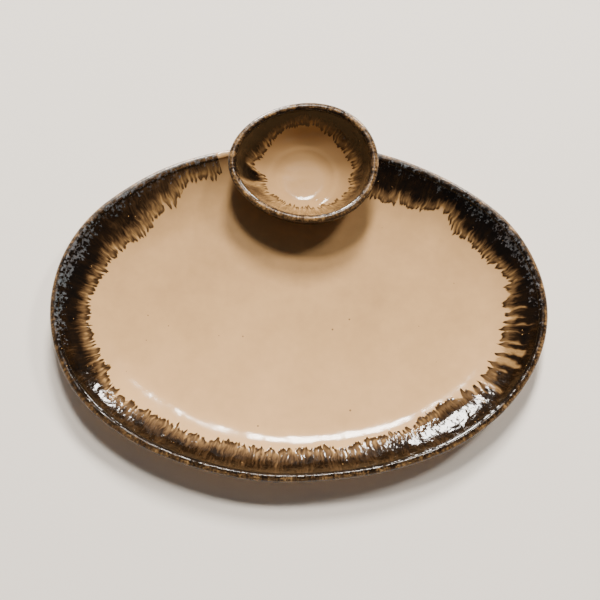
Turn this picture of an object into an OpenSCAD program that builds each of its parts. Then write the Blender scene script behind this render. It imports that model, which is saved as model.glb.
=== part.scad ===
// Oval stoneware chip and dip platter, with a squeezed dip bowl let into its back wall.
// The platter stands on an oval foot ring and the bowl on a round one, both on the plane z = 0.
// The platter's length lies along X, and the bowl is on its +Y side.

/* [Platter] */
// Length of the platter over its rim bead
platter_l = 350; // [310:1:400]
// Width of the platter over its rim bead
platter_w = 248; // [230:1:270]
// Height of the rim bead above the table
platter_h = 30; // [27:0.5:36]
// Thickness of the clay slab that makes the floor and the wall
slab_t = 5.5; // [4:0.25:7]
// Slope of the wall where it meets the rim bead, in degrees
wall_slope = 52; // [46:1:60]
// Radius of the half-round rim bead
platter_bead_r = 3.1; // [2.8:0.1:4]

/* [Platter foot] */
// Height of the foot ring under the floor
foot_h = 5; // [4:0.5:8]
// Width of the foot ring where it meets the floor
foot_ring_w = 10; // [7:0.5:14]
// How much narrower each side of the foot ring is on the table
foot_ring_taper = 1.5; // [0:0.25:2.5]
// Gap between the foot ring and the line where the wall starts to rise
foot_ring_setback = 14; // [10:0.5:22]

/* [Dip bowl] */
// Length of the bowl over its rim bead
bowl_l = 106.5; // [95:0.5:119]
// Width of the bowl over its rim bead
bowl_w = 89.5; // [81:0.5:97]
// How much fuller the right end of the bowl's rim is than the left
bowl_egg_share = 0.088; // [0:0.004:0.12]
// Height of the bowl's rim bead above the table
bowl_h = 48; // [42:0.5:56]
// How far the bowl's rim reaches past the platter's rim
bowl_overhang = 23.5; // [19:0.5:28]
// How far the bowl stands to the right of the platter's middle
bowl_shift = 2.2; // [-8:0.1:8]
// Thickness of the bowl's wall at the rim
bowl_wall_t = 4.5; // [3.5:0.25:6]
// Thickness of the bowl's floor
bowl_floor_t = 5.5; // [4:0.25:8]
// Radius of the flat floor inside the bowl
bowl_floor_r = 20; // [14:0.5:22]
// Radius of the half-round bead on the bowl's rim
bowl_bead_r = 2.6; // [2.4:0.1:3.6]
// Steepness of the bowl's wall at its foot, as degrees of its curve
bowl_curve_start = 25; // [15:1:35]
// Steepness of the bowl's wall at its rim, as degrees of its curve
bowl_curve_end = 80; // [70:1:86]

/* [Bowl foot] */
// Outer radius of the bowl's foot ring
bowl_foot_r = 25; // [22:0.5:27]
// Width of the bowl's foot ring
bowl_foot_w = 7; // [5:0.5:9]

/* [Luting coils] */
// Size of the coil pressed into the joint above the platter's wall
inner_coil = 5; // [3:0.25:6]
// Size of the coil pressed into the joint under the platter's wall
outer_coil = 3.5; // [2:0.25:4]

/* [Hidden] */
$fn = 96;

// The oval is drawn from four arcs, whose centres are the corners of 3-4-5 triangles of this unit
half_w = platter_w / 2;
oval_unit = (platter_l - platter_w) / 4;
end_x = 3 * oval_unit;
side_y = 4 * oval_unit;
end_r = half_w - oval_unit;
side_r = end_r + 5 * oval_unit;
// The footprint's middle is the origin, so the platter stands a little towards -Y
platter_y = -bowl_overhang / 2;

// The wall is one arc that leaves the floor level and ends at the rim bead
floor_z = foot_h + slab_t;
wall_rise = platter_h - platter_bead_r - floor_z + slab_t / 2 * cos(wall_slope);
wall_curve_r = wall_rise / (1 - cos(wall_slope));
wall_run = platter_bead_r + (wall_curve_r + slab_t / 2) * sin(wall_slope);
wall_curve_z = floor_z + wall_curve_r;

// The bowl stands on its foot ring, with its underside level with the platter's
bowl_x = bowl_shift;
bowl_y = platter_y + half_w + bowl_overhang - bowl_w / 2;
bowl_wall_z = bowl_h - bowl_bead_r;
bowl_floor_z = foot_h + bowl_floor_t;
bowl_rim_inset = bowl_bead_r - bowl_wall_t / 2;

// Counts of facets on the squeezed bowl, its bead and the coils
bowl_sides = 72;
bowl_levels = 11;
bead_steps = 8;
coil_steps = 44;
// Halvings when a joint line is looked for, which leave less than a thousandth of a millimetre
halvings = 18;
// Hairline of slip between a coil and the two pieces that it joins
coil_gap = 0.15;
// A coil is smallest at its ends, which stop short of the rim bead, and is full within this angle of them
coil_end_size = 1.2;
coil_end_clear = 0.8;
coil_taper_angle = 16;
// The clay colours, bare and glazed
glaze_tan = "#d8bb9c";
glaze_brown = "#4a2f18";
bare_clay = "#b08a62";

// Where the platter's surfaces are

// Distance of a point from the platter's outline, negative inside it
function outline_distance(p) =
    let (x = abs(p[0]), y = abs(p[1] - platter_y))
    y * end_x < (x - end_x) * side_y ? norm([x - end_x, y]) - end_r
                                     : norm([x, y + side_y]) - side_r;

// Height of the platter's inner face (depth 0) or of its underside (depth slab_t) at a point
function platter_z(p, depth) =
    let (r = wall_curve_r + depth,
         out = min(max(outline_distance(p) + wall_run, 0), r * sin(wall_slope)))
    wall_curve_z - sqrt(r * r - out * out);

// Where the bowl's surfaces are

// Share of the way from foot to rim that the bowl's wall has spread at a share of its height
function spread(share) =
    let (c = cos(bowl_curve_start) - share * (cos(bowl_curve_start) - cos(bowl_curve_end)))
    (sqrt(1 - c * c) - sin(bowl_curve_start)) / (sin(bowl_curve_end) - sin(bowl_curve_start));

// One point of a level ring of the bowl: half length a, half width b, and e of the egg shape
function egg_point(angle, a, b, e) =
    [bowl_x + a * cos(angle), bowl_y + b * sin(angle) * (1 + bowl_egg_share * e * cos(angle))];

// One point of the bowl's wall, from its foot or flat floor at z_low up to its rim
function bowl_point(angle, z, z_low, r_low, inset) =
    let (g = spread(min(max((z - z_low) / (bowl_wall_z - z_low), 0), 1)))
    egg_point(angle, r_low + (bowl_l / 2 - inset - r_low) * g,
              r_low + (bowl_w / 2 - inset - r_low) * g, g);

function outer_point(angle, z) = bowl_point(angle, z, foot_h, bowl_foot_r, bowl_rim_inset);
function inner_point(angle, z) =
    bowl_point(angle, z, bowl_floor_z, bowl_floor_r, bowl_rim_inset + bowl_wall_t);

// Direction straight out of the bowl's rim, seen from above
function rim_normal(angle) =
    let (step = 0.5, d = outer_point(angle + step, bowl_wall_z) - outer_point(angle - step, bowl_wall_z))
    [d[1], -d[0]] / norm(d);

function angle_of(i, n) = 360 * i / n;
function levels(low, high) =
    [for (i = [0 : bowl_levels]) low + (high - low) * (1 - cos(90 * i / bowl_levels))];
function ring(points, z) = [for (p = points) [p[0], p[1], z]];
function outer_ring(z) = ring([for (i = [0 : bowl_sides - 1]) outer_point(angle_of(i, bowl_sides), z)], z);
function inner_ring(z) = ring([for (i = [0 : bowl_sides - 1]) inner_point(angle_of(i, bowl_sides), z)], z);

// Where the bowl's outer wall meets the platter

// Height of the joint at an angle round the bowl, found by halving
function joint_z(angle, depth, low = foot_h, high = platter_h, n = halvings) =
    let (z = (low + high) / 2)
    n == 0 ? z
           : z < platter_z(outer_point(angle, z), depth) ? joint_z(angle, depth, z, high, n - 1)
                                                         : joint_z(angle, depth, low, z, n - 1);
function joint_point(angle, depth) = let (z = joint_z(angle, depth)) concat(outer_point(angle, z), z);

// The bowl's front is at 270 degrees: how far round from there the joint line reaches the rim bead
function joint_reach(depth, side, low = 0, high = 150, n = halvings) =
    let (t = (low + high) / 2,
         end = (wall_curve_r + depth) * sin(wall_slope) - wall_run - coil_end_clear,
         inside = outline_distance(joint_point(270 + side * t, depth)) < end)
    n == 0 ? t
           : inside ? joint_reach(depth, side, t, high, n - 1)
                    : joint_reach(depth, side, low, t, n - 1);

// Four corners of a luting coil's section: in the joint, on the platter, on its hollow face, on the bowl
function coil_section(angle, depth, size, up) =
    let (j = joint_point(angle, depth), n = rim_normal(angle),
         joint_z = j[2] + 2 * up * coil_gap,
         corner = concat(outer_point(angle, joint_z) + n * coil_gap, joint_z),
         on_platter = [j[0] + n[0] * size, j[1] + n[1] * size],
         foot = concat(on_platter, platter_z(on_platter, depth) + up * coil_gap),
         top_z = j[2] + up * size,
         top = concat(outer_point(angle, top_z) + n * coil_gap, top_z))
    [corner, foot, corner / 2 + foot / 4 + top / 4, top];

// Solids from rings of points

// Triangles between neighbouring rings of n points, with rings in order
function between(n, low, high) =
    [for (i = [0 : n - 1]) let (k = (i + 1) % n)
        each [[low * n + i, high * n + i, low * n + k], [low * n + k, high * n + i, high * n + k]]];
function flat(rings) = [for (r = rings) each r];

// A closed skin over rings, with a flat cap on the first and the last one
module capped_skin(rings) {
    n = len(rings[0]);
    m = len(rings);
    last = (m - 1) * n;
    caps = [for (i = [1 : n - 2]) each [[0, i, i + 1], [last, last + i + 1, last + i]]];
    polyhedron(flat(rings), concat([for (i = [0 : m - 2]) each between(n, i, i + 1)], caps));
}

// A closed skin over rings, whose last ring runs on into the first one
module endless_skin(rings) {
    n = len(rings[0]);
    m = len(rings);
    polyhedron(flat(rings), [for (i = [0 : m - 1]) each between(n, i, (i + 1) % m)]);
}

// Oval shapes of the platter

// The part of the plan that belongs to the round end on the right (s = 1) or on the left (s = -1)
module end_field(s) {
    far = platter_l / oval_unit;
    polygon([[s * end_x, 0], [s * end_x * (1 + far), side_y * far],
             [s * end_x * (1 + 2 * far), 0], [s * end_x * (1 + far), -side_y * far]]);
}

// The part of the plan that belongs to the two long sides
module side_field() {
    far = platter_l / oval_unit;
    polygon([[end_x, 0], [end_x * (1 + far), side_y * far], [-end_x * (1 + far), side_y * far],
             [-end_x, 0], [-end_x * (1 + far), -side_y * far], [end_x * (1 + far), -side_y * far]]);
}

// Sweeps a section round the oval: x is measured outwards from the outline, y is the height
module round_the_oval() {
    translate([0, platter_y, 0]) {
        for (s = [-1, 1]) {
            intersection() {
                translate([s * end_x, 0, 0]) rotate_extrude() translate([end_r, 0]) children();
                linear_extrude(bowl_h) end_field(s);
            }
            intersection() {
                translate([0, -s * side_y, 0]) rotate_extrude() translate([side_r, 0]) children();
                linear_extrude(bowl_h) intersection() {
                    side_field();
                    translate([-platter_l, min(s, 0) * platter_l]) square([2 * platter_l, platter_l]);
                }
            }
        }
    }
}

// The flat oval that lies inside the outline by inset
module oval_sheet(inset) {
    for (s = [-1, 1]) intersection() {
        translate([s * end_x, 0]) circle(r = end_r - inset);
        end_field(s);
    }
    intersection() {
        translate([0, -side_y]) circle(r = side_r - inset);
        translate([0, side_y]) circle(r = side_r - inset);
        side_field();
    }
}

// A thick oval with sloping sides, which lie inside the outline by low_inset and by high_inset
module oval_plug(low_inset, high_inset, h) {
    for (s = [-1, 1]) translate([s * end_x, 0, 0])
        cylinder(r1 = end_r - low_inset, r2 = end_r - high_inset, h = h);
    intersection() {
        translate([0, -side_y, 0]) cylinder(r1 = side_r - low_inset, r2 = side_r - high_inset, h = h);
        translate([0, side_y, 0]) cylinder(r1 = side_r - low_inset, r2 = side_r - high_inset, h = h);
        linear_extrude(h) side_field();
    }
}

// Section of the flared wall, between its two arcs
module wall_section() {
    reach = 2 * (wall_curve_r + slab_t);
    translate([-wall_run, wall_curve_z]) intersection() {
        difference() {
            circle(r = wall_curve_r + slab_t);
            circle(r = wall_curve_r);
        }
        polygon([[0, 0], [0, -reach], [reach * sin(wall_slope), -reach * cos(wall_slope)]]);
    }
}

// The pieces

// The bowl's outer form, filled up, with its foot: what the platter is cut away for
module bowl_form() {
    capped_skin([for (z = levels(foot_h, bowl_wall_z)) outer_ring(z)]);
    translate([bowl_x, bowl_y, 0]) cylinder(r = bowl_foot_r, h = foot_h);
}

module platter_body() {
    color(glaze_tan) difference() {
        union() {
            round_the_oval() wall_section();
            translate([0, platter_y, foot_h]) linear_extrude(slab_t) oval_sheet(wall_run);
        }
        bowl_form();
    }
}

module platter_rim_bead() {
    color(glaze_brown) difference() {
        round_the_oval() translate([-platter_bead_r, platter_h - platter_bead_r])
            rotate(wall_slope) intersection() {
                circle(r = platter_bead_r);
                translate([0, -platter_bead_r]) square([platter_bead_r, 2 * platter_bead_r]);
            }
        bowl_form();
    }
}

module platter_foot_ring() {
    tilt = foot_ring_taper / foot_h;
    outer = wall_run + foot_ring_setback;
    inner = outer + foot_ring_w;
    color(bare_clay) difference() {
        translate([0, platter_y, 0]) oval_plug(outer + foot_ring_taper, outer, foot_h);
        translate([0, platter_y, -1])
            oval_plug(inner - foot_ring_taper - tilt, inner + tilt, foot_h + 2);
        translate([bowl_x, bowl_y, -1]) cylinder(r = bowl_foot_r + outer_coil + 1, h = foot_h + 2);
    }
}

module dip_bowl() {
    color(glaze_tan)
        capped_skin(concat([for (z = levels(foot_h, bowl_wall_z)) outer_ring(z)],
                           [for (z = levels(bowl_wall_z, bowl_floor_z)) inner_ring(z)]));
}

module bowl_rim_bead() {
    mid = bowl_wall_t / 2;
    color(glaze_brown)
        endless_skin([for (k = [0 : bead_steps]) let (turn = 180 * k / bead_steps,
                                                      out = bowl_bead_r * cos(turn) - mid,
                                                      z = bowl_wall_z + bowl_bead_r * sin(turn))
            [for (i = [0 : bowl_sides - 1]) let (t = angle_of(i, bowl_sides), n = rim_normal(t))
                concat(outer_point(t, bowl_wall_z) + n * out, z)]]);
}

module bowl_foot_ring() {
    color(bare_clay) translate([bowl_x, bowl_y, 0]) difference() {
        cylinder(r = bowl_foot_r, h = foot_h);
        translate([0, 0, -1]) cylinder(r = bowl_foot_r - bowl_foot_w, h = foot_h + 2);
    }
}

// A coil of clay in the joint between bowl and platter: up is 1 above the platter, -1 under it
module luting_coil(depth, size, up) {
    left = joint_reach(depth, -1);
    right = joint_reach(depth, 1);
    sections = [for (i = [0 : coil_steps])
        let (t = -left + (left + right) * i / coil_steps,
             near = min(min(t + left, right - t) / coil_taper_angle, 1))
        coil_section(270 + t, depth, coil_end_size + (size - coil_end_size) * sqrt(near), up)];
    capped_skin(up < 0 ? sections : [for (s = sections) [s[0], s[3], s[2], s[1]]]);
}

module inner_joint_coil() {
    color(glaze_tan) luting_coil(0, inner_coil, 1);
}

module outer_joint_coil() {
    color(glaze_tan) luting_coil(slab_t, outer_coil, -1);
}

platter_body();
platter_rim_bead();
platter_foot_ring();
dip_bowl();
bowl_rim_bead();
bowl_foot_ring();
inner_joint_coil();
outer_joint_coil();
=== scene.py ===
# %% [markdown]
# # An oval chip and dip platter in stoneware
#
# The real thing is a slab of clay bent up into an oval platter, with a small thrown bowl let into its
# back wall. It is dipped in a cream glaze, and its rims are dipped again in a dark brown glaze that
# runs down the walls in the kiln.
#
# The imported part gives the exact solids. This lesson models finer pieces over them, in the same frame
# and in metres, and then mixes the glazes.

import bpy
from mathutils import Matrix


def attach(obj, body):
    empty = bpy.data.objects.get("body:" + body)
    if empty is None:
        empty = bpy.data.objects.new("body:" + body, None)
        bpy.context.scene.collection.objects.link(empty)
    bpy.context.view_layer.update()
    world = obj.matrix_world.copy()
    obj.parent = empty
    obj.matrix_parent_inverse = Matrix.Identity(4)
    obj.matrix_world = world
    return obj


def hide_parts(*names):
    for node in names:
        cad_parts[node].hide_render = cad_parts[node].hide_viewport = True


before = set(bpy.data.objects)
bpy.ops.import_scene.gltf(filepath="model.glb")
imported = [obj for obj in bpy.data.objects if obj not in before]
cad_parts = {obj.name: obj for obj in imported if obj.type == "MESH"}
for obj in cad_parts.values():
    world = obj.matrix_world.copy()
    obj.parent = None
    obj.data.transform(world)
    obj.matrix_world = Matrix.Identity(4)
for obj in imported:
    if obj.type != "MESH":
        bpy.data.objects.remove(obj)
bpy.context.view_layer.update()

# %% [markdown]
# ## Sizes
#
# A piece that stands for a solid has to lie where the solid lies, so the lesson starts from the same
# sizes as the part. The oval is drawn from four arcs. Their centres are the corners of 3-4-5 triangles,
# which gives every radius from the length and the width alone.

# %% Sizes of the platter and its oval
import math

mm = 0.001
platter_l, platter_w, platter_h = 350 * mm, 248 * mm, 30 * mm
slab_t, foot_h, bead_r = 5.5 * mm, 5 * mm, 3.1 * mm
wall_slope = math.radians(52)
bowl_overhang = 23.5 * mm
platter_y = -bowl_overhang / 2

half_w = platter_w / 2
oval_unit = (platter_l - platter_w) / 4
end_x, side_y = 3 * oval_unit, 4 * oval_unit
end_r = half_w - oval_unit
side_r = end_r + 5 * oval_unit
# A quarter of the oval turns through side_turn on a side's arc and through end_turn on an end's arc.
side_turn, end_turn = math.atan2(3, 4), math.atan2(4, 3)

floor_z = foot_h + slab_t
wall_r = (platter_h - bead_r - floor_z + slab_t / 2 * math.cos(wall_slope)) / (1 - math.cos(wall_slope))
wall_run = bead_r + (wall_r + slab_t / 2) * math.sin(wall_slope)
wall_z = floor_z + wall_r
print("wall curve of", round(wall_r / mm, 1), "mm over a run of", round(wall_run / mm, 1), "mm")

# %% Sizes of the dip bowl
bowl_l, bowl_w, bowl_h = 106.5 * mm, 89.5 * mm, 48 * mm
bowl_wall_t, bowl_floor_t, bowl_bead_r = 4.5 * mm, 5.5 * mm, 2.6 * mm
bowl_floor_r, bowl_foot_r, bowl_foot_w = 20 * mm, 25 * mm, 7 * mm
bowl_egg = 0.088
curve_start, curve_end = math.radians(25), math.radians(80)

bowl_x = 2.2 * mm
bowl_y = platter_y + half_w + bowl_overhang - bowl_w / 2
bowl_wall_z = bowl_h - bowl_bead_r
bowl_floor_z = foot_h + bowl_floor_t
bowl_rim_inset = bowl_bead_r - bowl_wall_t / 2
squeeze = (bowl_l - bowl_w) / 2
print("bowl stands at", round(bowl_x / mm, 1), round(bowl_y / mm, 1), "mm")

# %% [markdown]
# ## Where a point lies on the platter
#
# Several steps ask the same questions: how far is a point inside the rim, how far along the rim is it,
# and how high is the wall there. The oval's four arcs answer them exactly.

# %% Measure points against the oval
def rim_distance(x, y):
    """Distance from the rim's outline, negative inside it."""
    x, y = abs(x), abs(y - platter_y)
    if y * end_x < (x - end_x) * side_y:
        return math.hypot(x - end_x, y) - end_r
    return math.hypot(x, y + side_y) - side_r


quarter_rim = side_r * side_turn + end_r * end_turn
rim_length = 4 * quarter_rim


def rim_place(x, y):
    """Distance along the rim, clockwise from the middle of the back, where the bowl hides the start."""
    y = y - platter_y
    ax, ay = abs(x), abs(y)
    if ay * end_x < (ax - end_x) * side_y:
        place = quarter_rim - end_r * math.atan2(ay, ax - end_x)
    else:
        place = side_r * math.atan2(ax, ay + side_y)
    if y < 0:
        place = 2 * quarter_rim - place
    return place if x >= 0 else rim_length - place


def platter_z(x, y, depth):
    """Height of the platter's inner face (depth 0) or its underside (depth slab_t)."""
    r = wall_r + depth
    out = min(max(rim_distance(x, y) + wall_run, 0), r * math.sin(wall_slope))
    return wall_z - math.sqrt(r * r - out * out)


print("the rim is", round(rim_length / mm), "mm long")

# %% [markdown]
# ## The platter
#
# On the real platter the floor, the wall and the rolled lip are one skin of glaze with no seam, so they
# are one piece here too. A vertex that is extruded draws a line, and a vertex that is spun draws an arc,
# so the section needs no list of points. A bevelled curve could carry the section round too, but spins
# about the centres of the oval's arcs give true arcs, and two mirrors then complete the round.

# %% Draw lines and arcs with one vertex
import bmesh
from mathutils import Vector


def draw_line(bm, vert, shift, steps):
    """Extrudes the vertex by shift in equal steps and returns the last one."""
    for _ in range(steps):
        vert = bmesh.ops.extrude_vert_indiv(bm, verts=[vert])["verts"][0]
        bmesh.ops.translate(bm, verts=[vert], vec=Vector(shift) / steps)
    return vert


def draw_arc(bm, vert, centre, turn, steps):
    """Spins the vertex about a centre in the section's plane and returns the last one."""
    spun = bmesh.ops.spin(bm, geom=[vert], cent=centre, axis=(1, 0, 0), angle=turn, steps=steps)
    return [item for item in spun["geom_last"] if isinstance(item, bmesh.types.BMVert)][0]


# %% Sweep a section round the oval
tiny = 0.01 * mm


def sweep_round_oval(bm, step):
    """Spins what is drawn at the back middle round a quarter of the oval, then mirrors it twice.

    A step is a length along the rim. Points beside a mirror's plane are put on it, so the halves join."""
    front = bm.verts[:] + bm.edges[:]
    arcs = (((0, -side_y, 0), side_turn, side_r),
            ((end_x, 0, 0), end_turn, end_r))
    for centre, turn, radius in arcs:
        spun = bmesh.ops.spin(bm, geom=front, cent=centre, axis=(0, 0, 1), angle=-turn,
                              steps=round(radius * turn / step))
        front = spun["geom_last"]
    for axis in ("Y", "X"):
        for v in bm.verts:
            if abs(getattr(v.co, axis.lower())) < tiny:
                setattr(v.co, axis.lower(), 0)
        bmesh.ops.mirror(bm, geom=bm.verts[:] + bm.edges[:] + bm.faces[:], axis=axis, merge_dist=tiny)
    bmesh.ops.translate(bm, verts=bm.verts[:], vec=(0, platter_y, 0))


# %% Draw and sweep the platter's section
def platter_section(bm):
    """Draws the floor's edge, the wall, the lip and the way back below, each in a number of steps."""
    wall_centre = (0, half_w - wall_run, wall_z)
    lip_centre = (0, half_w - bead_r, platter_h - bead_r)
    reach_in = 40 * mm
    crease = Vector((0, -math.sin(wall_slope), math.cos(wall_slope))) * (bead_r - slab_t / 2)
    vert = bm.verts.new((0, half_w - wall_run - reach_in, floor_z))
    vert = draw_line(bm, vert, (0, reach_in, 0), 13)
    vert = draw_arc(bm, vert, wall_centre, wall_slope, 40)
    vert = draw_line(bm, vert, crease, 1)
    vert = draw_arc(bm, vert, lip_centre, -math.pi, 18)
    vert = draw_line(bm, vert, crease, 1)
    vert = draw_arc(bm, vert, wall_centre, -wall_slope, 26)
    draw_line(bm, vert, (0, -reach_in, 0), 6)


platter_bm = bmesh.new()
platter_section(platter_bm)
skin_step = 1.15 * mm
sweep_round_oval(platter_bm, skin_step)
# One face closes the middle of the floor, and one the middle of the underside.
for level in (floor_z, foot_h):
    hole = [e for e in platter_bm.edges if e.is_boundary and abs(e.verts[0].co.z - level) < mm]
    bmesh.ops.contextual_create(platter_bm, geom=hole)
bmesh.ops.recalc_face_normals(platter_bm, faces=platter_bm.faces[:])
print("platter skin:", len(platter_bm.faces), "faces, volume", round(platter_bm.calc_volume() * 1e6), "cm3")

# %% [markdown]
# ## The dip bowl
#
# The bowl was thrown round and then squeezed into an egg shape while it was soft. The model goes the
# same way: the section is spun round a full turn, and then each point is pushed in across the bowl by
# how far its wall has spread there. The flat floor and the foot stay round.

# %% The curve of the bowl's wall
def spread(share):
    """How far the wall has spread from foot to rim, at a share of its height."""
    c = math.cos(curve_start) - share * (math.cos(curve_start) - math.cos(curve_end))
    return (math.sqrt(1 - c * c) - math.sin(curve_start)) / (math.sin(curve_end) - math.sin(curve_start))


def wall_radius(z, z_low, r_low, inset):
    """Radius along the bowl's length at a height, and the wall's spread there."""
    g = spread(min(max((z - z_low) / (bowl_wall_z - z_low), 0), 1))
    return r_low + (bowl_l / 2 - inset - r_low) * g, g


def squeezed(angle, r, g):
    """The place of a round bowl's point once the bowl is squeezed."""
    return (bowl_x + r * math.cos(angle),
            bowl_y + (r - squeeze * g) * math.sin(angle) * (1 + bowl_egg * g * math.cos(angle)))


def bowl_outside(angle, z):
    """A point of the bowl's outer wall."""
    return squeezed(angle, *wall_radius(z, foot_h, bowl_foot_r, bowl_rim_inset))


# %% Spin a section and squeeze it
def spin_round_bowl(bm, section, steps):
    """A full turn about the bowl's axis, with the seam merged."""
    bmesh.ops.spin(bm, geom=section, cent=(bowl_x, bowl_y, 0), axis=(0, 0, 1), angle=2 * math.pi,
                   steps=steps, use_merge=True)
    bmesh.ops.remove_doubles(bm, verts=bm.verts[:], dist=tiny / 10)


def spin_and_squeeze(section, steps):
    """Spins (radius, height, spread) points of a section about the bowl's axis, then squeezes the result.

    Each point also remembers how far it lies from the lip along the section: more than 0 is inside."""
    bm = bmesh.new()
    given = bm.verts.layers.float.new("spread")
    from_lip = bm.verts.layers.float.new("from_lip")
    chain = []
    for r, z, g in section:
        chain.append(bm.verts.new((bowl_x + r, bowl_y, z)))
        chain[-1][given] = g
    links = [bm.edges.new(pair) for pair in zip(chain, chain[1:])]
    lip = max(range(len(chain)), key=lambda i: chain[i].co.z)
    for i, vert in enumerate(chain):
        way = sum(link.calc_length() for link in links[min(i, lip):max(i, lip)])
        vert[from_lip] = way if i < lip else -way
    spin_round_bowl(bm, chain + links, steps)
    for v in bm.verts:
        r = math.hypot(v.co.x - bowl_x, v.co.y - bowl_y)
        if r > tiny:
            v.co.x, v.co.y = squeezed(math.atan2(v.co.y - bowl_y, v.co.x - bowl_x), r, v[given])
    bmesh.ops.recalc_face_normals(bm, faces=bm.faces[:])
    return bm


# %% Points of the bowl's section
def steps_between(low, high, count):
    """Heights that lie close together at the low end, where the wall turns most."""
    return [low + (high - low) * (1 - math.cos(math.pi / 2 * i / count)) for i in range(count + 1)]


def outer_wall(inset, count):
    """Points (radius, height, spread) up the bowl's outside, drawn in by inset."""
    points = []
    for z in steps_between(foot_h, bowl_wall_z, count):
        r, g = wall_radius(z, foot_h, bowl_foot_r, bowl_rim_inset)
        points.append((r - inset, z, g))
    return points


def inner_wall(z):
    """A point of the bowl's inside, as a vector of radius, height and spread."""
    r, g = wall_radius(z, bowl_floor_z, bowl_floor_r, bowl_rim_inset + bowl_wall_t)
    return Vector((r, z, g))


def bend(start, corner, end, steps):
    """Points of a curve that leaves start towards the corner and reaches end from there."""
    shares = [i / steps for i in range(steps + 1)]
    return [start.lerp(corner, share).lerp(corner.lerp(end, share), share) for share in shares]


# %% [markdown]
# The finger that opens the clay on the wheel leaves no sharp corner inside. So the floor turns up on a
# curve that starts along the floor and ends along the wall, and a low ridge from the finger's last round
# lies on that turn.

# %% Draw the bowl's section and spin it
ridge_h, ridge_r, ridge_w = 0.65 * mm, 23.5 * mm, 1.9 * mm
ripple_h, ripple_w, ripple_end = 0.012 * mm, 1.15 * mm, 21 * mm


def throwing_ring(r):
    """Height of the finger's ridge, and of fainter ripples inside it."""
    ridge = ridge_h * math.exp(-((r - ridge_r) / ridge_w) ** 2)
    ripples = ripple_h * math.cos(r / ripple_w) * max(1 - r / ripple_end, 0)
    return ridge + ripples


turn_start, turn_h, step_back = 0.7 * bowl_floor_r, 9 * mm, 0.02
floor_middle = Vector((0, bowl_floor_z, 0))
floor_edge = Vector((turn_start, bowl_floor_z, 0))
wall_foot = inner_wall(bowl_floor_z + turn_h)
below_foot = inner_wall(bowl_floor_z + (1 - step_back) * turn_h)
turn_corner = wall_foot + (below_foot - wall_foot) / step_back
bowl_inside = [floor_middle.lerp(floor_edge, i / 10) for i in range(10)]
bowl_inside += bend(floor_edge, turn_corner, wall_foot, 12)[:-1]
bowl_inside += [inner_wall(z) for z in steps_between(wall_foot.y, bowl_wall_z, 34)]
bowl_section = [(r, z + throwing_ring(r), g) for r, z, g in bowl_inside]
lip_steps, bowl_steps = 14, 320
for i in range(lip_steps + 1):
    turn = math.pi * (1 - i / lip_steps)
    bowl_section.append((bowl_l / 2 - bowl_bead_r + bowl_bead_r * math.cos(turn),
                         bowl_wall_z + bowl_bead_r * math.sin(turn), 1))
bowl_section += outer_wall(0, 24)[::-1]
bowl_section += [(bowl_foot_r * i / 4, foot_h, 0) for i in (3, 2, 1, 0)]
bowl_bm = spin_and_squeeze(bowl_section, bowl_steps)
print("bowl skin:", len(bowl_bm.faces), "faces, volume", round(bowl_bm.calc_volume() * 1e6, 1), "cm3")

# %% [markdown]
# ## The bite for the bowl
#
# The potter cuts the platter's wall away where the bowl goes. A Boolean modifier does the same with a
# slightly smaller copy of the bowl's outside, so that the wall's cut edge ends inside the bowl's clay
# and no gap shows.

# %% Turn a bmesh into an object
import bpy


def make_object(name, bm):
    """Links a new object at the origin that holds the bmesh."""
    mesh = bpy.data.meshes.new(name)
    bm.to_mesh(mesh)
    bm.free()
    mesh.polygons.foreach_set("use_smooth", [True] * len(mesh.polygons))
    obj = bpy.data.objects.new(name, mesh)
    bpy.context.scene.collection.objects.link(obj)
    return obj


# %% Cut the bite
tuck, core_bottom = 1.8 * mm, foot_h - 3 * mm
core_section = [(0, core_bottom, 0), (bowl_foot_r - tuck, core_bottom, 0)]
core_section += outer_wall(tuck, 20)
core_section += [(0, bowl_wall_z, 1)]
core = make_object("bowl_core", spin_and_squeeze(core_section, bowl_steps // 2))
platter = make_object("glazed_platter", platter_bm)
bite = platter.modifiers.new("bite", "BOOLEAN")
bite.operation, bite.solver, bite.object = "DIFFERENCE", "EXACT", core
cut = bpy.data.meshes.new_from_object(platter.evaluated_get(bpy.context.evaluated_depsgraph_get()))
platter.modifiers.remove(bite)
platter.data = cut
cut.name = "glazed_platter"
bpy.data.objects.remove(core)
print("platter after the bite:", len(cut.polygons), "faces")

bowl = make_object("glazed_dip_bowl", bowl_bm)

# %% [markdown]
# ## The luted joint
#
# A coil of soft clay is pressed into the corner where the bowl meets the platter, above and below the
# wall. A fillet of this kind is drawn as a section at one end of the joint and extruded on step by step
# along it. Its hollow face is a curve that leaves the platter and reaches the bowl without a kink.

# %% Find the joint line
halvings, stop_short, widest_turn = 24, 0.4 * mm, math.radians(150)


def joint_point(angle, depth):
    """Where the bowl's outside meets the platter's face, found by halving."""
    low, high = foot_h, platter_h
    for _ in range(halvings):
        z = (low + high) / 2
        if z < platter_z(*bowl_outside(angle, z), depth):
            low = z
        else:
            high = z
    return Vector((*bowl_outside(angle, z), z))


def joint_reach(depth, side):
    """How far round from the bowl's front the joint line runs before it meets the lip."""
    end = (wall_r + depth) * math.sin(wall_slope) - wall_run - stop_short
    low, high = 0, widest_turn
    for _ in range(halvings):
        turn = (low + high) / 2
        point = joint_point(side * turn - math.pi / 2, depth)
        if rim_distance(point.x, point.y) < end:
            low = turn
        else:
            high = turn
    return turn


# %% Draw a section of the fillet
sink, corner_depth, small_turn = 0.12 * mm, 1 * mm, 0.01


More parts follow.
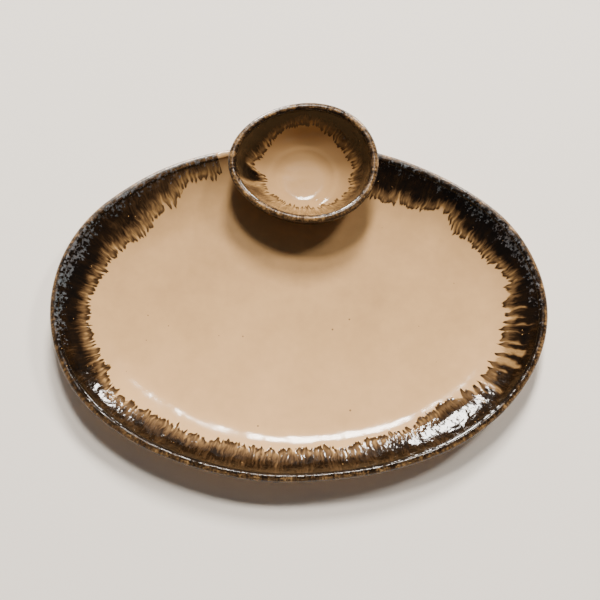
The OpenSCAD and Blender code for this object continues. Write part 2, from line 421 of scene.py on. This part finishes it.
def fillet_section(angle, depth, size, up, steps=10):
    """A corner hidden inside both walls, then the hollow face. Its edges sink a little into both walls."""
    joint = joint_point(angle, depth)
    ahead, behind = (Vector(bowl_outside(angle + turn, joint.z)) for turn in (small_turn, -small_turn))
    nearby = ahead - behind
    out = Vector((nearby.y, -nearby.x, 0)).normalized()
    on_platter = joint + out * size
    on_platter.z = platter_z(on_platter.x, on_platter.y, depth) - sink * up
    top_z = joint.z + up * size
    on_bowl = Vector((*bowl_outside(angle, top_z), top_z)) - out * sink
    corner = joint - out * corner_depth - Vector((0, 0, up * corner_depth))
    return [corner] + bend(on_platter, joint, on_bowl, steps)


# %% Extrude the two fillets along the joint
end_size, taper_turn = 1.2 * mm, 0.3


def draw_loop(bm, points):
    """A closed loop through the points: its vertices and its edges."""
    verts = [bm.verts.new(point) for point in points]
    return verts, [bm.edges.new(pair) for pair in zip(verts, verts[1:] + verts[:1])]


def press_coil(name, depth, size, up, steps=150):
    """Extrudes a fillet along the whole joint. At both ends it thins out, over a turn of taper_turn."""
    left, right = joint_reach(depth, -1), joint_reach(depth, 1)
    bm = bmesh.new()
    ring = []
    for i in range(steps + 1):
        turn = -left + (left + right) * i / steps
        share = min(max(min(turn + left, right - turn), 0) / taper_turn, 1)
        size_here = end_size + (size - end_size) * math.sqrt(share)
        points = fillet_section(turn - math.pi / 2, depth, size_here, up)
        if not ring:
            ring, edges = draw_loop(bm, points)
            first = edges
            continue
        made = bmesh.ops.extrude_edge_only(bm, edges=edges)["geom"]
        edges = [e for e in made if isinstance(e, bmesh.types.BMEdge) and e.is_boundary]
        ring = [next(e.other_vert(v) for e in v.link_edges if e.other_vert(v) in set(made)) for v in ring]
        for v, p in zip(ring, points):
            v.co = p
    bmesh.ops.contextual_create(bm, geom=first)
    bmesh.ops.contextual_create(bm, geom=edges)
    bmesh.ops.recalc_face_normals(bm, faces=bm.faces[:])
    print(name, "has", len(bm.faces), "faces")
    return make_object(name, bm)


inner_size, outer_size = 6 * mm, 3.6 * mm
inner_fillet = press_coil("inner_joint_fillet", 0, inner_size, 1)
outer_fillet = press_coil("outer_joint_fillet", slab_t, outer_size, -1)

# %% [markdown]
# ## The foot rings
#
# Both rings are trimmed from leather-hard clay and wiped clean of glaze, so they show the bare body.
# Their sharp corners are rubbed down with a wet finger: a small bevel does that to the swept section.

# %% Sweep the oval foot ring
rubbed_w, level_enough = 1.1 * mm, 0.99


def rub_down(bm):
    """Turns a ring's faces outwards and bevels the two edges that it stands on."""
    bmesh.ops.recalc_face_normals(bm, faces=bm.faces[:])
    bottom = [e for e in bm.edges if all(v.co.z < tiny for v in e.verts)
              and any(abs(f.normal.z) < level_enough for f in e.link_faces)]
    bmesh.ops.bevel(bm, geom=bottom, offset=rubbed_w, offset_type="OFFSET", segments=3, profile=0.5,
                    affect="EDGES", material=-1)


ring_w, ring_taper, ring_setback, ring_step = 10 * mm, 1.5 * mm, 14 * mm, 2.4 * mm
outer_y = half_w - wall_run - ring_setback
inner_y = outer_y - ring_w
corners = [(inner_y, foot_h), (inner_y + ring_taper, 0), (outer_y - ring_taper, 0), (outer_y, foot_h)]
ring_bm = bmesh.new()
draw_loop(ring_bm, [(0, y, z) for y, z in corners])
sweep_round_oval(ring_bm, ring_step)
rub_down(ring_bm)
print("oval foot ring:", len(ring_bm.faces), "faces")
platter_foot = make_object("bare_platter_foot", ring_bm)

# %% Spin the round foot ring
inner_r, foot_steps = bowl_foot_r - bowl_foot_w, 96
corners = [(inner_r, foot_h), (inner_r, 0), (bowl_foot_r, 0), (bowl_foot_r, foot_h)]
ring_bm = bmesh.new()
verts, edges = draw_loop(ring_bm, [(bowl_x + r, bowl_y, z) for r, z in corners])
spin_round_bowl(ring_bm, verts + edges, foot_steps)
rub_down(ring_bm)
print("round foot ring:", len(ring_bm.faces), "faces")
bowl_foot = make_object("bare_bowl_foot", ring_bm)

# %% [markdown]
# ## Where the dark glaze lies
#
# The dark glaze hangs from the rim, so every point needs two facts: its place along the rim and its
# way from the lip down the wall. They are stored on the vertices as an attribute. The place along the
# rim is wound onto a circle of the same length, so a pattern that reads it has no seam.

# %% How far a point of the platter is from the lip
crease_way = bead_r * math.pi / 2 + bead_r - slab_t / 2


def platter_way(x, y, z):
    """Way from the lip along the platter's skin: more than 0 on the inside, less on the outside."""
    u = rim_distance(x, y)
    to_lip_y, to_lip_z = u + bead_r, z - platter_h + bead_r
    along = to_lip_y * math.cos(wall_slope) + to_lip_z * math.sin(wall_slope)
    across = to_lip_z * math.cos(wall_slope) - to_lip_y * math.sin(wall_slope)
    if along > 0:
        return bead_r * math.atan2(across, along)
    from_axis = math.hypot(max(u + wall_run, 0), wall_z - z)
    inside = from_axis < wall_r + slab_t / 2
    r = wall_r if inside else wall_r + slab_t
    turn = math.atan2(max(u + wall_run, 0), wall_z - z)
    way = crease_way + r * max(wall_slope - turn, 0) + max(-wall_run - u, 0)
    return way if inside else -way


# %% [markdown]
# More facts say how the potter dipped the rim at that place: how far the glaze ran, how dark it lies,
# how much it is flecked with crystals, and how many pale tongues break it. They could be painted on, but
# a few stations round each rim say the same in numbers that can be read and changed. A point between two
# stations gets a blend.

# %% Stations round the rims
# Each is (degrees seen from above, anticlockwise from the right, run in mm, darkness, flecks, tongues).
platter_dip = [(5, 32, 0.9, 0.6, 0.8), (10, 25, 0.95, 0.7, 0.3), (18, 31, 1, 0.76, 0),
               (27, 33, 1, 0.76, 0), (37, 23, 0.95, 0.6, 0), (46, 33, 0.88, 0.6, 0),
               (62, 35, 0.88, 0.6, 0), (85, 35, 0.9, 0.4, 0), (96, -9, 0.5, 0.6, 0),
               (117.5, -9, 0.5, 0.6, 0), (119, 17, 0.5, 0.6, 0), (130, 18, 0.57, 0.62, 0),
               (140, 27, 0.58, 0.64, 0), (154, 35, 0.75, 0.68, 0), (168, 33, 0.97, 0.8, 0),
               (182, 30, 0.92, 0.74, 0), (195, 32, 0.85, 0.45, 0.1), (208, 25, 0.75, 0.3, 0.15),
               (225, 30, 0.75, 0.35, 0.1), (233, 27, 0.75, 0.1, 0.1), (247, 30, 0.71, 0.1, 0.25),
               (262, 28.5, 0.7, 0.1, 0.2), (275, 31, 0.7, 0.1, 0.2), (290, 29, 0.7, 0.1, 0.15),
               (306, 33, 0.75, 0.1, 0.2), (313, 31, 0.8, 0.1, 0.25), (326, 36, 0.8, 0.1, 0.5),
               (340, 34, 0.8, 0.15, 0.9), (352, 35, 0.85, 0.35, 1)]
bowl_dip = [(10, 31, 0.7, 0.3, 0), (29, 34, 0.75, 0.4, 0), (60, 27, 0.85, 0.2, 0),
            (90, 21, 0.85, 0.1, 0), (120, 26, 0.85, 0.2, 0), (150, 34, 0.85, 0.3, 0),
            (172, 31, 0.7, 0.3, 0), (179, 41, 1, 0.1, 0), (187, 43, 1, 0.1, 0), (194, 39, 0.15, 0, 0),
            (203, 42, 0.5, 0, 0), (222, 45, 0.25, 0, 0), (270, 44, 0.1, 0, 0), (300, 42, 0.2, 0, 0),
            (318, 37, 0.4, 0, 0), (345, 33, 0.6, 0.2, 0), (355, 36, 0.7, 0.3, 0)]


def smooth(share):
    """Eases a share that goes from 0 to 1."""
    return share * share * (3 - 2 * share)


def dip_at(stations, angle):
    """Run, darkness, flecks and tongues at an angle, eased from one station to the next."""
    angle = math.degrees(angle) % 360
    first, last = stations[0], stations[-1]
    ring = [(last[0] - 360, *last[1:]), *stations, (first[0] + 360, *first[1:])]
    low, high = next(pair for pair in zip(ring, ring[1:]) if pair[0][0] <= angle <= pair[1][0])
    share = smooth((angle - low[0]) / (high[0] - low[0]))
    return [a + (b - a) * share for a, b in zip(low[1:], high[1:])]


print(len(platter_dip), "stations on the platter's rim and", len(bowl_dip), "on the bowl's")

# %% [markdown]
# The glaze also has a thickness. Where it lies, the skin is lifted a little along its normal, with a
# soft front where the runs end. After that the whole piece leans a little, because no hand makes a true
# oval: a few pushes in and out move the rim, and fade towards the floor.

# %% Lean the clay
lean_reach = 70 * mm
# Each push is (degrees seen from above, mm outwards, spread in degrees).
pushes = ((217, 2.4, 18), (281, -2.1, 20), (320, 1.3, 10), (338, -1.0, 9), (0, 1.0, 10), (136, 1.4, 13))


def leaned(x, y, z):
    """A point's place once the clay has leaned."""
    dx, dy = x, y - platter_y
    angle = math.degrees(math.atan2(dy, dx))
    out = sum(push * math.exp(-(((angle - at + 180) % 360 - 180) / wide) ** 2) for at, push, wide in pushes)
    share = min(max(1 + rim_distance(x, y) / lean_reach, 0), 1) ** 2
    out *= mm * share / max(math.hypot(dx, dy), mm)
    return x + dx * out, y + dy * out, z


# %% Store the facts and lift the glaze
glaze_t, glaze_front, bowl_circle_r = 0.3 * mm, 6 * mm, 48 * mm
# Outside the walls the glaze lies at least this dark: partly a guess that dark glaze runs down the outside,
# partly painted shade on the bowl's front outer wall under its lip.
outside_share, outside_dark_and_shade = 0.5, 0.7


def glaze(obj, facts):
    """Stores what facts(vertex) gives: turn and radius on the rim's circle, way from the lip, and dip.

    Then it lifts the glaze and leans the clay. Outside the walls the glaze runs less far, and tongues of -1
    tell the material that this is the outside."""
    mesh = obj.data
    names = {"glaze_way": "FLOAT_VECTOR", "glaze_dip": "FLOAT_VECTOR", "glaze_tongues": "FLOAT"}
    for name, kind in names.items():
        mesh.attributes.new(name, kind, "POINT")
    where, dipped, tongued = (mesh.attributes[name] for name in names)
    moved = []
    for v in mesh.vertices:
        turn, radius, way, (run, dark, flecks, tongues) = facts(v)
        if way < 0:
            run, flecks, tongues = outside_share * run, outside_share * flecks, -1
            # The outside is made at least this dark, partly as assumed dark glaze and partly as painted
            # shade on the bowl's shaded outer wall.
            dark = max(dark, outside_dark_and_shade)
        where.data[v.index].vector = (radius * math.cos(turn), radius * math.sin(turn), abs(way))
        dipped.data[v.index].vector = (run * mm, dark, flecks)
        tongued.data[v.index].value = tongues
        front = min(max((run * mm - abs(way)) / glaze_front, 0), 1)
        moved.append(leaned(*(v.co + v.normal * glaze_t * smooth(front))))
    mesh.vertices.foreach_set("co", [number for place in moved for number in place])
    mesh.update()
    print(obj.name, "is glazed on", len(mesh.vertices), "vertices")


def platter_facts(v):
    """The facts of the platter and of the fillets that lie on it."""
    x, y, z = v.co
    return (2 * math.pi * rim_place(x, y) / rim_length, rim_length / (2 * math.pi), platter_way(x, y, z),
            dip_at(platter_dip, math.atan2(y - platter_y, x)))


def bowl_facts(v):
    """The facts of the bowl, whose rim is wound onto a circle of about its own length."""
    x, y = v.co.xy
    angle = math.atan2(y - bowl_y, x - bowl_x)
    way = bowl.data.attributes["from_lip"].data[v.index].value
    return angle, bowl_circle_r, way, dip_at(bowl_dip, angle)


glaze(platter, platter_facts)
glaze(bowl, bowl_facts)
glaze(inner_fillet, platter_facts)
glaze(outer_fillet, platter_facts)
for foot in (platter_foot, bowl_foot):
    for v in foot.data.vertices:
        v.co = leaned(*v.co)

# %% [markdown]
# The clay fires into one rigid piece, so all six pieces ride on the part's one body, and the solids
# that each piece stands for are hidden.

# %% Put the pieces on the part's body
for piece, slot, nodes in ((platter, "cream_glaze", ("platter_body", "platter_rim_bead")),
                           (bowl, "cream_glaze", ("dip_bowl", "bowl_rim_bead")),
                           (inner_fillet, "cream_glaze", ("inner_joint_coil",)),
                           (outer_fillet, "cream_glaze", ("outer_joint_coil",)),
                           (platter_foot, "bare_stoneware", ("platter_foot_ring",)),
                           (bowl_foot, "bare_stoneware", ("bowl_foot_ring",))):
    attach(piece, "root")
    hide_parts(*nodes)

# %% [markdown]
# ## Mixing the glazes
#
# A material is a recipe of nodes. To keep a recipe readable, a node's output is wrapped so that sums can
# be written as sums: each plus, minus or times adds one Math node.

# %% Values that change over the surface
def connect(socket, value):
    """Links a wrapped output to an input, or sets the input to a plain number, place or colour."""
    if isinstance(value, Value):
        socket.id_data.links.new(value.socket, socket)
    else:
        socket.default_value = (*value, 1) if socket.type == "RGBA" else value


def sums(operation, *values, kind="ShaderNodeMath"):
    """One Math node, or one Vector Math node where kind says so."""
    tree = next(value for value in values if isinstance(value, Value)).socket.id_data
    node = tree.nodes.new(kind)
    node.operation = operation
    for socket, value in zip(node.inputs, values):
        connect(socket, value)
    return Value(node.outputs[0])


class Value:
    """The output of a node."""

    def __init__(self, socket):
        self.socket = socket

    def __add__(self, other):
        return sums("ADD", self, other)

    def __sub__(self, other):
        return sums("SUBTRACT", self, other)

    def __rsub__(self, other):
        return sums("SUBTRACT", other, self)

    def __mul__(self, other):
        return sums("MULTIPLY", self, other)

    __radd__, __rmul__ = __add__, __mul__


# %% Nodes for patterns and colours
def put(tree, kind, output, settings, **inputs):
    """Adds a node and returns one of its outputs. An underscore in an input's name stands for a space."""
    node = tree.nodes.new("ShaderNode" + kind)
    for name, value in settings.items():
        setattr(node, name, value)
    for name, value in inputs.items():
        connect(node.inputs[name.replace("_", " ")], value)
    return Value(node.outputs[output])


def ease(value, low, high):
    """0 below low and 1 above high, with a soft change between."""
    return put(value.socket.id_data, "MapRange", 0, {"interpolation_type": "SMOOTHSTEP"},
               Value=value, From_Min=low, From_Max=high)


def stretched(vector, x, y, z):
    """The place multiplied along each axis. A small number draws a pattern out along that axis."""
    return sums("MULTIPLY", vector, (x, y, z), kind="ShaderNodeVectorMath")


def split(vector):
    """The three numbers of a place."""
    node = vector.socket.id_data.nodes.new("ShaderNodeSeparateXYZ")
    connect(node.inputs[0], vector)
    return [Value(part) for part in node.outputs]


def noise(vector, size, detail=2, rough=0.5):
    """Clouds of about that size, as a value around 0."""
    clouds = put(vector.socket.id_data, "TexNoise", "Fac", {"noise_dimensions": "3D"},
                 Vector=vector, Scale=1 / size, Detail=detail, Roughness=rough)
    return clouds - 0.5


def cells(vector, size, feature, output, dimensions="2D"):
    """Cells of about that size: a distance in them, or the random colour that each cell has."""
    settings = {"voronoi_dimensions": dimensions, "feature": feature}
    return put(vector.socket.id_data, "TexVoronoi", output, settings, Vector=vector, Scale=1 / size)


def blend(share, below, above):
    """A colour that goes from below to above. A Mix node keeps its colours in inputs 6 and 7, output 2."""
    node = share.socket.id_data.nodes.new("ShaderNodeMix")
    node.data_type = "RGBA"
    for i, value in ((0, share), (6, below), (7, above)):
        connect(node.inputs[i], value)
    return Value(node.outputs[2])


def new_group(name, inputs, outputs):
    """An empty node group, its inputs as values by name, and the sockets of its outputs."""
    group = bpy.data.node_groups.new(name, "ShaderNodeTree")
    for socket, kind in inputs.items():
        group.interface.new_socket(socket, in_out="INPUT", socket_type="NodeSocket" + kind)
    for socket in outputs:
        group.interface.new_socket(socket, in_out="OUTPUT", socket_type="NodeSocketFloat")
    start, end = group.nodes.new("NodeGroupInput"), group.nodes.new("NodeGroupOutput")
    return group, {socket: Value(start.outputs[socket]) for socket in inputs}, end.inputs


# %% [markdown]
# ### Runs of glaze
#
# Glaze that runs thins out. Near the rim it is thick and dark, further down it is a honey-coloured wash,
# and thin dark strands run through the wash and end in drops. So the group works out how thick the glaze
# lies: the way left to the front gives the wash and the thick part, and the edges of a pattern of cells
# along the rim give the strands. The thickness later picks the colour.

# %% The paths of the runs
# Lengths in this group are in mm, and shares go from 0 to 1.
runs, given, made = new_group("glaze_runs", {"Way": "Vector", "Dip": "Vector", "Tongues": "Float"},
                              ("Thickness", "Flecks", "Roughness", "Relief"))
to_mm = 1000
way = stretched(given["Way"], to_mm, to_mm, to_mm)
down = split(way)[2]
run, dark, fleck_share = split(given["Dip"])
run = run * to_mm
tongues = given["Tongues"]


def bent(vector, size, amount):
    """The place moved sideways by clouds, so that runs don't go straight."""
    clouds = put(runs, "TexNoise", "Color", {"noise_dimensions": "3D"},
                 Vector=vector, Scale=1 / size, Detail=1)
    return sums("MULTIPLY_ADD", clouds, (amount, amount, 0), vector, kind="ShaderNodeVectorMath")


wavy = bent(way, 9, 5)
streak = noise(stretched(wavy, 1, 1, 0.1), 1.4, 3, 0.6)
patch = noise(way, 9, 3)
# How far a point lies above the ragged front where the glaze stopped.
left = run + noise(way, 15) * 9 + noise(stretched(wavy, 1, 1, 0.12), 4, 1) * 10 - down


def from_cell_side(size):
    """Distance from the nearest side of a cell. The cells' sides are the paths that strands take."""
    return cells(wavy, size, "DISTANCE_TO_EDGE", "Distance") * size


# Where tongues are common, the strands lie as far apart as the tongues.
tongue_w, strand_gap = 8.5, 3.7
coarse = ease(tongues, 0.3, 0.9)
from_side = from_cell_side(tongue_w)
from_strand = from_cell_side(strand_gap)
from_strand = from_strand + (from_side - from_strand) * coarse
beside = 1 - ease(from_strand, 0.2, 2 + coarse * 1.6)

# %% Wash, thick glaze and strands
# The square of the distance from a strand pulls the front back between strands, which rounds its tips.
pull_back = from_strand * from_strand
in_wash = ease(left - pull_back * 0.8, -1.2, 1.5) * (0.12 + beside * 0.18) + ease(left, 0, 8) * 0.23
wash = in_wash * (0.5 + dark * 0.7) + streak * ease(left, 0, 3) * 0.35
thick = 0.2 + dark * 0.78 + patch * 0.55 + streak * 0.45
body = ease(left + streak * 8, 5, 12.5)
thickness = wash + (thick - wash) * body

# A strand widens and darkens into a drop at its end.
drop = 1 - ease(left, -0.5, 3.5)
strand_w = 0.9 + coarse * 1.5 + noise(stretched(way, 1, 1, 0.2), 3) * 1.6 + drop * 1.5
strand = 1 - ease(from_strand, strand_w * 0.15, strand_w)
strand = strand * ease(left + 1.4 - pull_back * 1.2, -0.4, 1)
in_strand = 0.27 + dark * 0.24 + coarse * 0.06 + drop * 0.2 + streak * 0.4
thickness = thickness + sums("MAXIMUM", in_strand - thickness, 0) * strand

# %% The lip
# Glaze draws back from a sharp edge, so the crest and the outside of the lip show a thin tan line. Just
# below the lip it gathers again and lies darker. Where nothing was dipped, the lip stays cream.
was_dipped = ease(run, 0, 5)
ragged = noise(way, 5)
lip = (1 - ease(down + ragged * 6, 1.8, 3.6)) * was_dipped
outside = ease(tongues * -1, 0.2, 0.8)
edge = 1 - ease(down + ragged * 4 - outside * 9, 0.3, 1.8)
on_lip = 0.74 - edge * 0.28 + noise(way, 1.5, 3) * 1.5 + noise(way, 7) * 0.9
thickness = thickness + (on_lip - thickness) * lip * 0.85
thickness = thickness + (ease(down, 3.4, 4.6) - ease(down, 5.2, 7)) * was_dipped * 0.3

# %% Pale tongues and pinholes
# In the middle of a wide cell the glaze has slid away and left a pale tongue, below a spot of its own.
chance = put(runs, "SeparateColor", "Red", {}, Color=cells(wavy, tongue_w, "F1", "Color"))
past_spot = down - 8 - chance * 8
tongue = ease(from_side + tongues * (0.5 + past_spot * 0.1), 2.1, 4.2) * ease(past_spot, -1, 3)
tongue = tongue * ease(tongues, 0.05, 0.3) * (1 - strand * 0.9) * 0.9
in_tongue = 0.22 + beside * 0.38 + streak * 0.35
thickness = thickness + sums("MINIMUM", in_tongue - thickness, 0) * tongue

# Bubbles leave pale pinholes in some patches of the thick glaze.
pinhole = 1 - ease(cells(way, 5, "F1", "Distance", "3D") * 5, 0.3, 0.7)
pinhole = pinhole * ease(patch, 0, 0.1) * ease(left, 4, 8)
thickness = thickness + sums("MINIMUM", 0.22 - thickness, 0) * pinhole

# %% Flecks of crystal, gloss and relief
# Crystals grow in a zone below the lip. They are duller than the glaze, and so is the thin lip.
crystals = sums("MINIMUM", cells(way, 2.6, "F1", "Distance", "3D") - 0.5, 0)
grain = noise(stretched(way, 1, 1, 0.7), 2.6, 4, 0.72) + crystals * 0.8
zone_end = 4 + fleck_share * 13 + noise(stretched(way, 1, 1, 0.3), 4) * 22
zone = ease(down, 0.8, 2.5) * (1 - ease(down - zone_end, -4, 4))
flecks = ease(grain + fleck_share * zone * 0.43, 0.26, 0.38) * ease(thickness, 0.2, 0.4)

cover = ease(thickness, 0, 0.3)
roughness = 0.12 - cover * 0.02 + flecks * 0.3 + lip * (0.12 + fleck_share * 0.25)
relief = cover * 0.1 + (streak * 0.03 + noise(way, 8, 2) * 0.65) * cover + strand * 0.05 * (1 - body)
glaze_values = {"Thickness": thickness, "Flecks": flecks, "Roughness": roughness, "Relief": relief}
for name, value in glaze_values.items():
    connect(made[name], value)
print("glaze_runs has", len(runs.nodes), "nodes")

# %% [markdown]
# ### Iron specks
#
# Stoneware clay has grains of iron that burn through any glaze as tiny dark specks. Both the glazed and
# the bare surfaces show them, so they are a group of their own.

# %% Specks
specks, given, made = new_group("iron_specks", {"Vector": "Vector", "Spacing": "Float", "Size": "Float"},
                                ("Specks",))
node = specks.nodes.new("ShaderNodeTexVoronoi")
connect(node.inputs["Vector"], given["Vector"])
connect(node.inputs["Scale"], sums("DIVIDE", 1, given["Spacing"]))
chance = put(specks, "SeparateColor", "Red", {}, Color=Value(node.outputs["Color"]))
size = given["Size"] * chance * chance
connect(made["Specks"], 1 - ease(Value(node.outputs["Distance"]) * given["Spacing"], size * 0.6, size))
print("iron_specks has", len(specks.nodes), "nodes")

# %% [markdown]
# ### The two finishes
#
# Under the dark glaze lies the cream one. It is painted deeper in colour towards the back, as painted shade
# where less light reaches. The dark glaze is tinted glass: a thin layer looks honey-coloured and a thick one
# nearly black, so a colour ramp turns its thickness into a colour. Relief finer than the mesh is left to a
# bump. The foot rings are bare clay, which is matt and grainy.

# %% The dipped glaze
def new_material(name):
    """A material, its node tree and the inputs of its shader."""
    material = bpy.data.materials.new(name)
    material.use_nodes = True
    return material, material.node_tree, material.node_tree.nodes["Principled BSDF"].inputs


def use(tree, group, output, **inputs):
    """Places a node group in a material."""
    return put(tree, "Group", output, {"node_tree": group}, **inputs)


def raise_surface(tree, height, scale, shader):
    """Bumps the surface by a height that is given in units of scale metres."""
    connect(shader["Normal"], put(tree, "Bump", "Normal", {}, Height=height, Distance=scale, Strength=1))


dipped, tree, shader = new_material("dipped_glaze")
place = put(tree, "TexCoord", "Object", {})
node = tree.nodes.new("ShaderNodeGroup")
node.node_tree = runs
for name, output in (("Way", "Vector"), ("Dip", "Vector"), ("Tongues", "Fac")):
    connect(node.inputs[name], put(tree, "Attribute", output, {"attribute_name": "glaze_" + name.lower()}))
thickness, flecks, roughness, relief = (Value(node.outputs[name]) for name in glaze_values)

# The cream is painted darker towards the back (+y), darkest in the bowl: painted shade for light that falls
# off there. The two clouds added to depth are random tone of the glaze.
lit_front_cream, shaded_back_cream, iron = (0.75, 0.45, 0.205), (0.40, 0.236, 0.102), (0.10, 0.06, 0.03)
depth = split(place)[1] * 5 + 0.55 + noise(place, 35 * mm, 4) * 0.6 + noise(place, 7 * mm, 2) * 0.25
speck = use(tree, specks, "Specks", Vector=place, Spacing=13 * mm, Size=1.1 * mm)
cream = blend(speck * 0.8, blend(depth, lit_front_cream, shaded_back_cream), iron)

# Each is (thickness, colour), from a thin wash to the thickest glaze.
glaze_colours = ((0.1, (0.49, 0.283, 0.112)), (0.3, (0.265, 0.15, 0.055)), (0.45, (0.122, 0.068, 0.029)),
                 (0.62, (0.05, 0.0265, 0.0115)), (0.8, (0.0135, 0.0068, 0.0028)),
                 (1.0, (0.0045, 0.003, 0.0022)))
node = tree.nodes.new("ShaderNodeValToRGB")
connect(node.inputs["Fac"], thickness)
ramp = node.color_ramp
for i, (at, colour) in enumerate(glaze_colours):
    stop = ramp.elements[i] if i < 2 else ramp.elements.new(at)
    stop.position, stop.color = at, (*colour, 1)
grey_crystal, blue_crystal = (0.115, 0.105, 0.108), (0.08, 0.102, 0.115)
crystal = blend(noise(place, 30 * mm) * 2 + 0.5, grey_crystal, blue_crystal)
brown = blend(flecks * 0.85, Value(node.outputs["Color"]), crystal)
connect(shader["Base Color"], blend(ease(thickness, 0, 0.22), cream, brown))
connect(shader["Roughness"], roughness)
waves = noise(place, 45 * mm) + noise(place, 20 * mm) * 0.3 + noise(place, 7 * mm) * 0.05
raise_surface(tree, relief + waves, mm, shader)
shader["IOR"].default_value = 1.5
shader["Specular IOR Level"].default_value = 0.26
print("dipped_glaze has", len(tree.nodes), "nodes")

# %% The bare stoneware
bare, tree, shader = new_material("bare_stoneware")
place = put(tree, "TexCoord", "Object", {})
dark_clay, pale_clay, burnt_iron = (0.34, 0.215, 0.12), (0.45, 0.30, 0.18), (0.09, 0.05, 0.03)
clay = blend(noise(place, 20 * mm, 3) + 0.5, dark_clay, pale_clay)
speck = use(tree, specks, "Specks", Vector=place, Spacing=4 * mm, Size=0.7 * mm)
connect(shader["Base Color"], blend(speck, clay, burnt_iron))
shader["Roughness"].default_value = 0.8
raise_surface(tree, noise(place, 1.1 * mm, 3), 0.3 * mm, shader)
print("bare_stoneware has", len(tree.nodes), "nodes")

# %% Dress the pieces
for piece in (platter, bowl, inner_fillet, outer_fillet):
    piece.data.materials.append(dipped)
for piece in (platter_foot, bowl_foot):
    piece.data.materials.append(bare)

# %% [markdown]
# ## Camera and light
#
# The camera looks steeply down on the platter, as a guest at the table would, and a long lens keeps the
# oval true. Its shift and small roll only frame the picture.

# %% Camera
from mathutils import Matrix

aim = Vector((0, platter_y, platter_h - bead_r))
steepness, roll = math.radians(76), math.radians(0.835)
away = Vector((0, -math.cos(steepness), math.sin(steepness)))
lens = bpy.data.cameras.new("camera")
lens.lens, lens.sensor_width = 85, 36
camera_distance, picture_px, right_px, up_px = 1.0013, 600, 1.75, 8.75
lens.shift_x, lens.shift_y = right_px / picture_px, up_px / picture_px
camera = bpy.data.objects.new("camera", lens)
camera.location = aim + away * camera_distance
camera.rotation_euler = (away.to_track_quat("Z", "Y").to_matrix() @ Matrix.Rotation(roll, 3, "Z")).to_euler()
bpy.context.scene.collection.objects.link(camera)
bpy.context.scene.camera = camera
print("camera at", [round(number, 3) for number in camera.location])

# %% [markdown]
# The platter stands on a plain pale table top. Matt light and glints are set up apart, because on shiny
# glaze a lamp that is right for the shadow can be wrong for its reflection. Three key lights above and
# behind give the light and the bowl's stepped shadow on the floor, and are hidden from reflections. A lamp,
# two low panels at the back and a dim backdrop are seen only as reflections: they make the glints on the
# lips, the floors and the front wall.

# %% Table top
table_half = 3
table_bm = bmesh.new()
bmesh.ops.create_grid(table_bm, x_segments=1, y_segments=1, size=table_half)
table = make_object("table_top", table_bm)
cloth, tree, shader = new_material("pale_table_top")
place = put(tree, "TexCoord", "Object", {})
dark_cloth, pale_cloth = (0.87, 0.81, 0.735), (0.91, 0.855, 0.785)
connect(shader["Base Color"], blend(noise(place, 300 * mm, 3) + 0.5, dark_cloth, pale_cloth))
shader["Roughness"].default_value = 0.9
table.data.materials.append(cloth)

# %% Lights
world = bpy.data.worlds.new("studio")
world.use_nodes = True
sky = world.node_tree.nodes["Background"].inputs
sky["Color"].default_value = (1, 0.98, 0.96, 1)
sky["Strength"].default_value = 0.12
bpy.context.scene.world = world


def softbox(name, direction, distance, size, power):
    """A lit panel in a direction and at a distance from the platter's middle, turned towards it."""
    light = bpy.data.lights.new(name, "AREA")
    light.shape, light.size, light.size_y, light.energy = "RECTANGLE", size[0], size[1], power
    light.color = (1, 0.95, 0.88)
    obj = bpy.data.objects.new(name, light)
    towards = Vector(direction).normalized()
    obj.location = aim + towards * distance
    obj.rotation_euler = towards.to_track_quat("Z", "Y").to_euler()
    bpy.context.scene.collection.objects.link(obj)
    return obj


# Each is (name, direction, distance in m, size in m, power in W).
keys = [softbox("right_key", (0.62, 0.46, 1), 3, (0.4, 0.4), 46),
        softbox("back_key", (0.0, 0.48, 1), 3, (0.4, 0.4), 74),
        softbox("low_key", (0.12, 0.9, 1), 3, (0.5, 0.6), 132)]
glints = [softbox("lamp", (-0.02, 0.62, 1), 3, (0.2, 0.5), 90),
          softbox("right_panel", (0.46, 0.875, 0.17), 1.5, (0.22, 0.4), 40),
          softbox("left_panel", (-0.30, 0.93, 0.27), 1.5, (0.27, 0.8), 105),
          softbox("backdrop", (0, 0.96, 0.28), 1.6, (2.0, 0.9), 3.5)]
for light in keys:
    light.visible_glossy = False
for light in glints:
    light.visible_diffuse = False
print(len(keys), "lights for the shadow and", len(glints), "for the glints")
